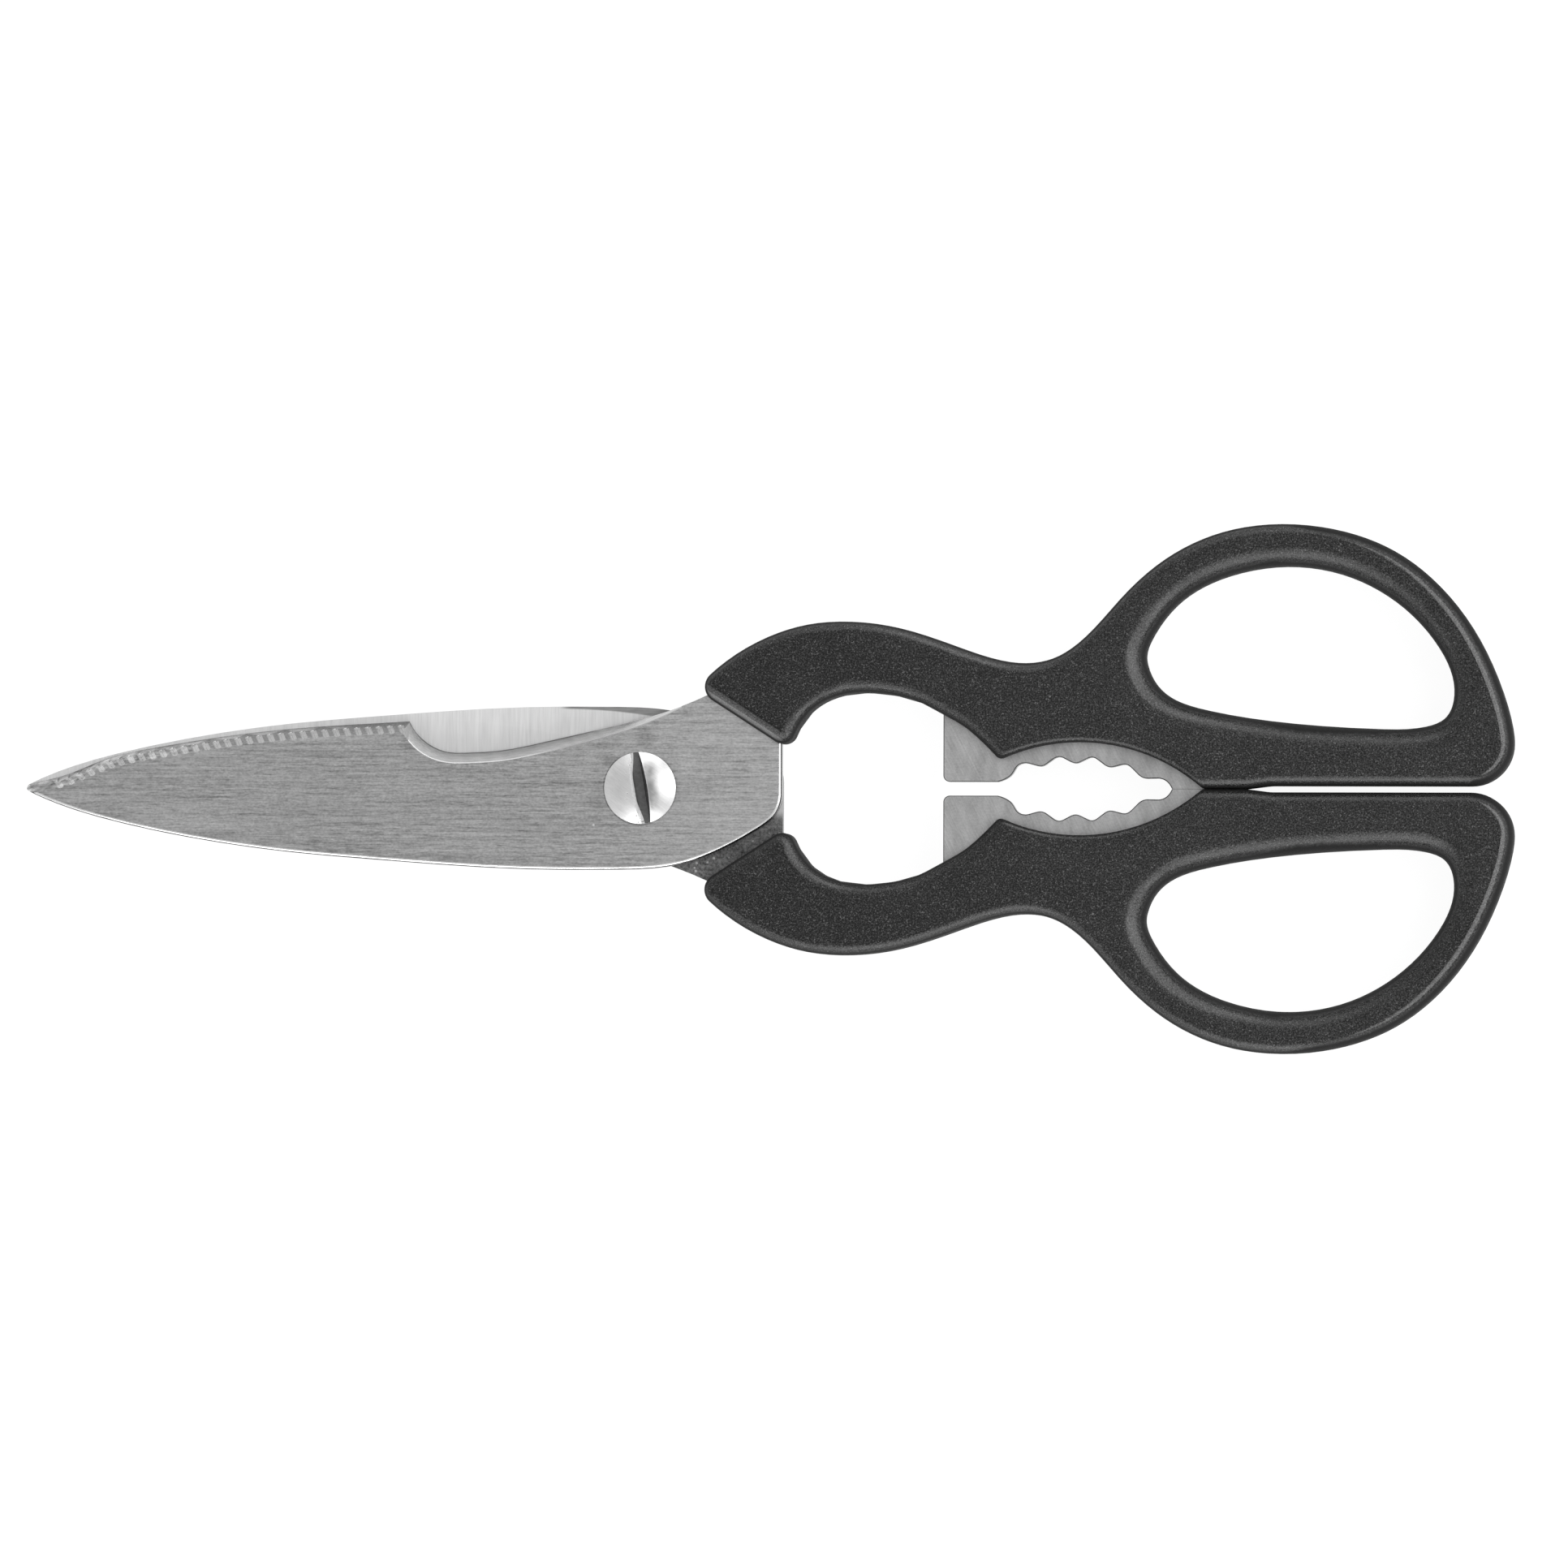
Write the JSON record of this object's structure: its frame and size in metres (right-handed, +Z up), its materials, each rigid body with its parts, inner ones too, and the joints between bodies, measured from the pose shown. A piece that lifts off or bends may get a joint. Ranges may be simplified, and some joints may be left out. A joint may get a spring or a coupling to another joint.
{
  "type": "kitchen shears",
  "caption": "Kitchen shears with steel blades on a slotted pivot screw, a notched front blade, D-shaped finger loops, a bottle opener bow and a toothed nutcracker.",
  "frame": {"origin": "under the middle of the shut shears, on the flat that they rest on", "axes": "+X from the tips to the finger loops along the closing line, +Y towards the front half's handle, +Z up through the pivot screw's head"},
  "size_m": [0.2099, 0.0744, 0.0107],
  "materials": {
    "blade_steel": "lengthwise brushed stainless steel, ground bevels",
    "grip_plastic": "fine spark-eroded texture",
    "pivot_steel": "turned, satin"
  },
  "bodies": {
    "rear_half": {"rear_blade": "blade_steel", "rear_handle": "grip_plastic", "pivot_screw": "pivot_steel", "pivot_nut": "pivot_steel", "pivot_washer": "pivot_steel"},
    "front_half": {"front_blade": "blade_steel", "front_handle": "grip_plastic"}
  },
  "joints": [
    {"name": "blade_pivot", "type": "hinge", "parent": "rear_half", "child": "front_half", "pos_m": [-0.01787, 0, 0.0053], "axis": [0, 0, 1], "range_deg": [0, 72]}
  ]
}
